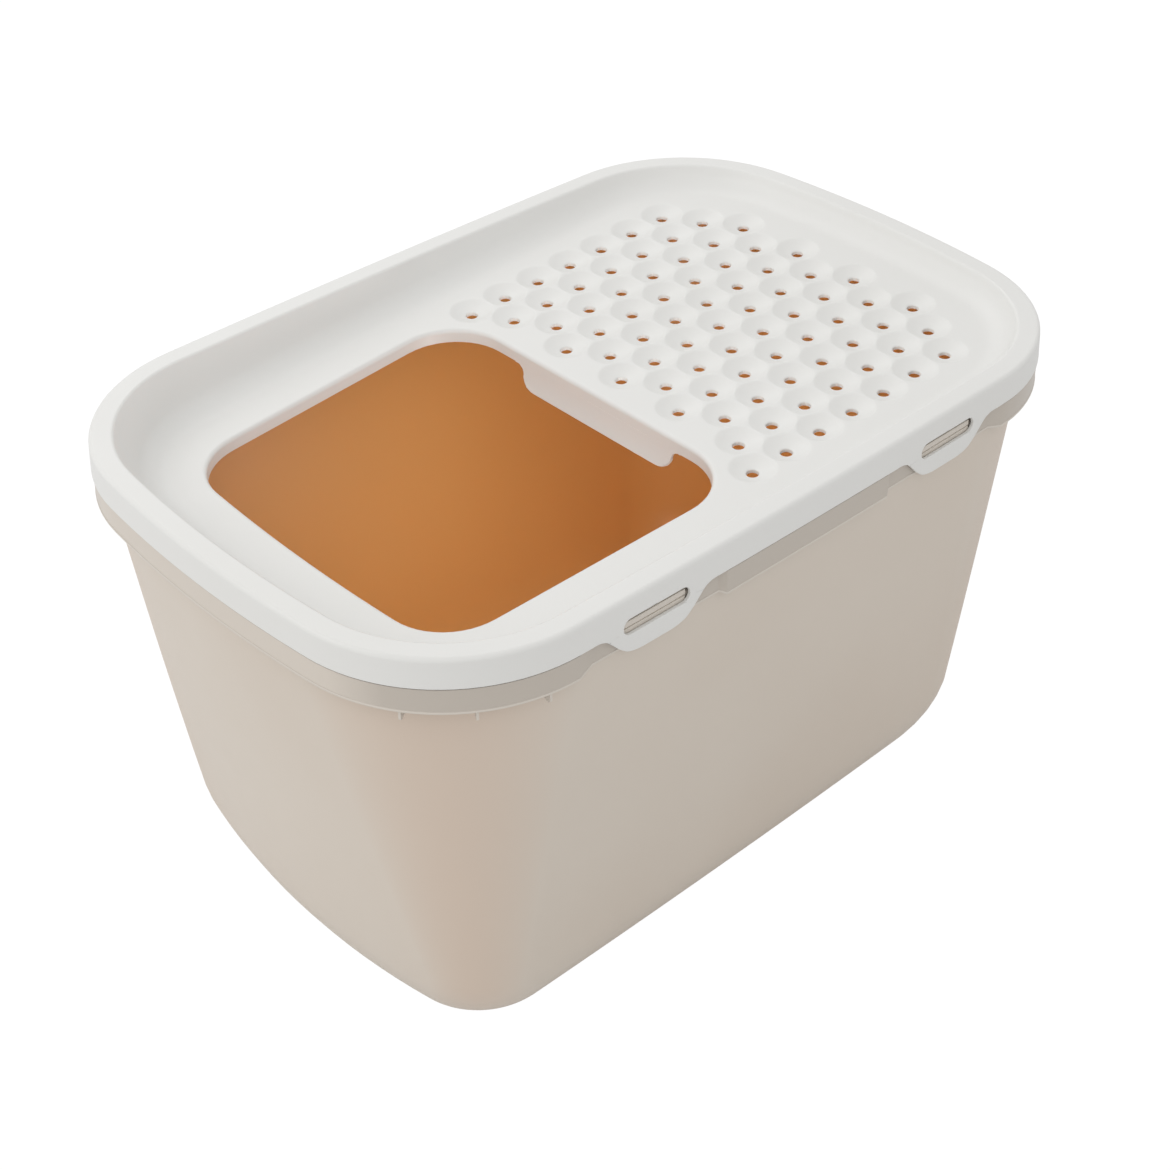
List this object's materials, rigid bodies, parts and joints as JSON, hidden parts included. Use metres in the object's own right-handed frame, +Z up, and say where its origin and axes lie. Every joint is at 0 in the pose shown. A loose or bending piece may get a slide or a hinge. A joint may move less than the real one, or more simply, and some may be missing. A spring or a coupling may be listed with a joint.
{
  "type": "top entry litter box",
  "caption": "Deep tapered tub with rounded corners and a snap-fit lid, whose recessed perforated deck slopes to a rolled entry opening.",
  "frame": {"origin": "centre of the base, on the surface it stands on", "axes": "+Z up, +X along the length towards the perforated end of the lid, -Y the side seen as the front"},
  "size_m": [0.5848, 0.39, 0.375],
  "materials": {
    "tub_taupe": "satin moulded polypropylene, warm grey-beige",
    "lid_white": "satin moulded polypropylene, warm off-white"
  },
  "bodies": {
    "tub": {"tub": "tub_taupe"},
    "lid": {"lid": "lid_white"},
    "snap_tab_front_left": {"snap_tab_front_left": "lid_white"},
    "snap_tab_front_right": {"snap_tab_front_right": "lid_white"},
    "snap_tab_rear_left": {"snap_tab_rear_left": "lid_white"},
    "snap_tab_rear_right": {"snap_tab_rear_right": "lid_white"}
  },
  "joints": [
    {"name": "lid_lift", "type": "slide", "parent": "tub", "child": "lid", "axis": [0, 0, 1], "range_m": [0, 0.15]},
    {"name": "snap_tab_front_left_flex", "type": "hinge", "parent": "lid", "child": "snap_tab_front_left", "pos_m": [-0.124, -0.1941, 0.363], "axis": [-1, 0, 0], "range_deg": [0, 12], "stiffness_Nm_per_rad": 0.05},
    {"name": "snap_tab_front_right_flex", "type": "hinge", "parent": "lid", "child": "snap_tab_front_right", "pos_m": [0.124, -0.1941, 0.363], "axis": [-1, 0, 0], "range_deg": [0, 12], "stiffness_Nm_per_rad": 0.05},
    {"name": "snap_tab_rear_left_flex", "type": "hinge", "parent": "lid", "child": "snap_tab_rear_left", "pos_m": [-0.124, 0.1941, 0.363], "axis": [1, 0, 0], "range_deg": [0, 12], "stiffness_Nm_per_rad": 0.05},
    {"name": "snap_tab_rear_right_flex", "type": "hinge", "parent": "lid", "child": "snap_tab_rear_right", "pos_m": [0.124, 0.1941, 0.363], "axis": [1, 0, 0], "range_deg": [0, 12], "stiffness_Nm_per_rad": 0.05}
  ]
}
